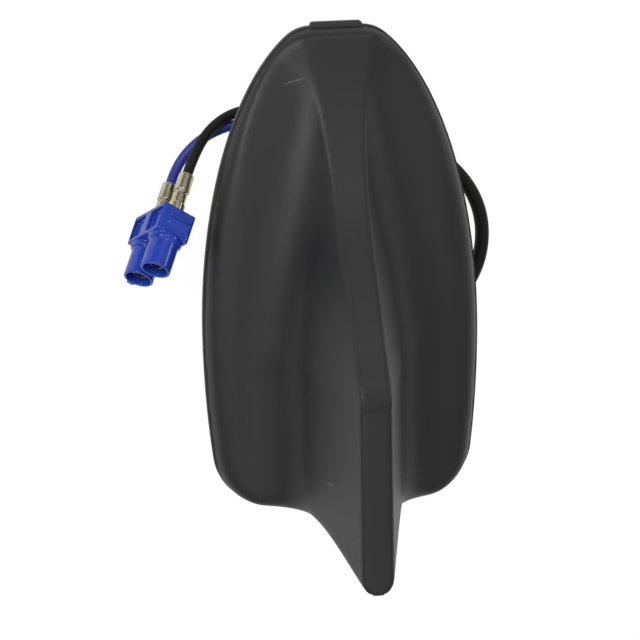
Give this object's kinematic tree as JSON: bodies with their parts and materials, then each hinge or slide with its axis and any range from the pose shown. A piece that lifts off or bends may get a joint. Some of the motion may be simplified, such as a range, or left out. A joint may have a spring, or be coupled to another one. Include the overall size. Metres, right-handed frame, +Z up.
{
  "type": "shark-fin roof antenna",
  "caption": "Shark-fin roof antenna for a car: moulded fin cover on a die-cast base with a bolt stem, and a short pigtail that ends in a twin coaxial connector.",
  "frame": {"origin": "where the fixing bolt's axis meets the roof plane, at the gasket's underside", "axes": "+Y towards the nose, which faces the car's front, +X to the right, +Z up, away from the roof"},
  "size_m": [0.1093, 0.1518, 0.0734],
  "materials": {
    "cover_plastic": "matte dark grey, finely grained",
    "gasket_rubber": "matte black",
    "die_cast": "as cast",
    "circuit_board": "green solder mask",
    "tin_plate": "bright tin",
    "ceramic": "fired ceramic",
    "foam": "open foam",
    "inner_plastic": "natural plastic",
    "screw_steel": "zinc plated",
    "black_jacket": "matte black jacket",
    "blue_jacket": "satin blue jacket",
    "blue_plastic": "satin signal blue",
    "plated_crimp": "dull warm nickel",
    "insulator": "white",
    "contact_brass": "gold plated"
  },
  "bodies": {
    "root": {"cover": "cover_plastic", "roof_gasket": "gasket_rubber", "base_plate": "die_cast", "main_board": "circuit_board", "shield_can": "tin_plate", "navigation_patch": "ceramic", "radio_patch": "ceramic", "patch_pads": "foam", "fin_board": "circuit_board", "fin_holder": "inner_plastic", "foam_strip": "foam", "cover_screws": "screw_steel", "board_screws": "screw_steel", "cable_grommet": "gasket_rubber", "inner_leads": "black_jacket", "cable_bundle": "black_jacket", "cable_splitter": "black_jacket", "black_cable": "black_jacket", "blue_cable": "blue_jacket", "connector_housing": "blue_plastic", "connector_lock": "blue_plastic", "black_ferrule": "plated_crimp", "blue_ferrule": "plated_crimp", "black_contact_sleeve": "plated_crimp", "blue_contact_sleeve": "plated_crimp", "black_insulator": "insulator", "blue_insulator": "insulator", "black_pin": "contact_brass", "blue_pin": "contact_brass"}
  },
  "joints": []
}
